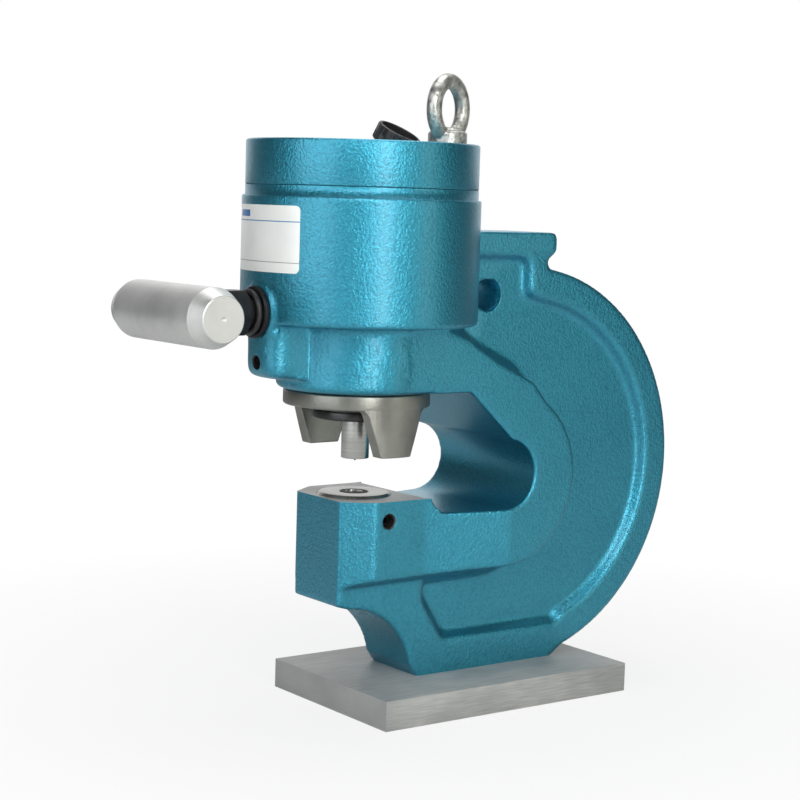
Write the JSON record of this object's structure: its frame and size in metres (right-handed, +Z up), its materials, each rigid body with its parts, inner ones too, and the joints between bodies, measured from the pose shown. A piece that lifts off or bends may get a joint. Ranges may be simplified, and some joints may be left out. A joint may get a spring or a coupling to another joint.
{
  "type": "hydraulic hole punch",
  "caption": "Bench hole punch: painted C-frame casting with a hydraulic ram, stripper, punch and die over a deep throat, on a steel plate, with cross handle and lifting eye.",
  "frame": {"origin": "on the punch's axis, at the base plate's underside", "axes": "+X from the open jaw to the back of the C-frame, +Y across it towards the hydraulic coupler, +Z up along the punch"},
  "size_m": [0.3994, 0.1818, 0.4038],
  "materials": {
    "teal_paint": "gloss hammertone paint on cast iron",
    "ground_steel": "ground plate, unpainted",
    "black_steel": "black oxide",
    "dark_steel": "dark turned steel",
    "tool_steel": "ground tool steel",
    "cast_steel": "blasted cast steel, bare",
    "forged_steel": "galvanised forging",
    "plated_steel": "bright plated steel",
    "spring_steel": "oiled spring wire",
    "turned_aluminium": "turned and lightly brushed",
    "bronze": "turned bearing bronze",
    "black_rubber": "moulded, satin",
    "seal_rubber": "smooth nitrile",
    "seal_plastic": "filled polymer",
    "plate_film": "bare silver film"
  },
  "bodies": {
    "press": {"frame": "teal_paint", "base_plate": "ground_steel", "foot_screws": "black_steel", "cylinder_cap": "teal_paint", "cap_seal": "seal_rubber", "lifting_eye": "forged_steel", "coupler": "plated_steel", "dust_cap": "black_rubber", "name_plate": "plate_film", "handle_bush": "black_steel", "return_spring": "spring_steel", "rod_bush": "bronze", "rod_wiper": "seal_rubber", "stripper": "cast_steel", "stripper_screws": "black_steel", "die": "tool_steel", "die_lock_screw": "black_steel"},
    "ram_and_punch": {"ram": "plated_steel", "piston_seal": "seal_plastic", "guide_ring": "seal_plastic", "punch_nut": "dark_steel", "punch": "tool_steel"},
    "handle": {"handle_stem": "black_steel", "handle_seal": "seal_rubber", "handle_retainer": "plated_steel", "handle_grip": "turned_aluminium"},
    "coupler_valve": {"coupler_poppet": "plated_steel"}
  },
  "joints": [
    {"name": "ram_slide", "type": "slide", "parent": "press", "child": "ram_and_punch", "axis": [0, 0, -1], "range_m": [0, 0.025], "stiffness_N_per_m": 8000, "springref_m": -0.02, "deforming": ["return_spring"]},
    {"name": "handle_turn", "type": "hinge", "parent": "press", "child": "handle", "pos_m": [-0.1, 0, 0.2535], "axis": [-1, 0, 0], "range_deg": [-90, 90]},
    {"name": "poppet_slide", "type": "slide", "parent": "press", "child": "coupler_valve", "axis": [-0.4067, -0.9135, 0], "range_m": [0, 0.003], "stiffness_N_per_m": 400, "springref_m": -0.004}
  ]
}
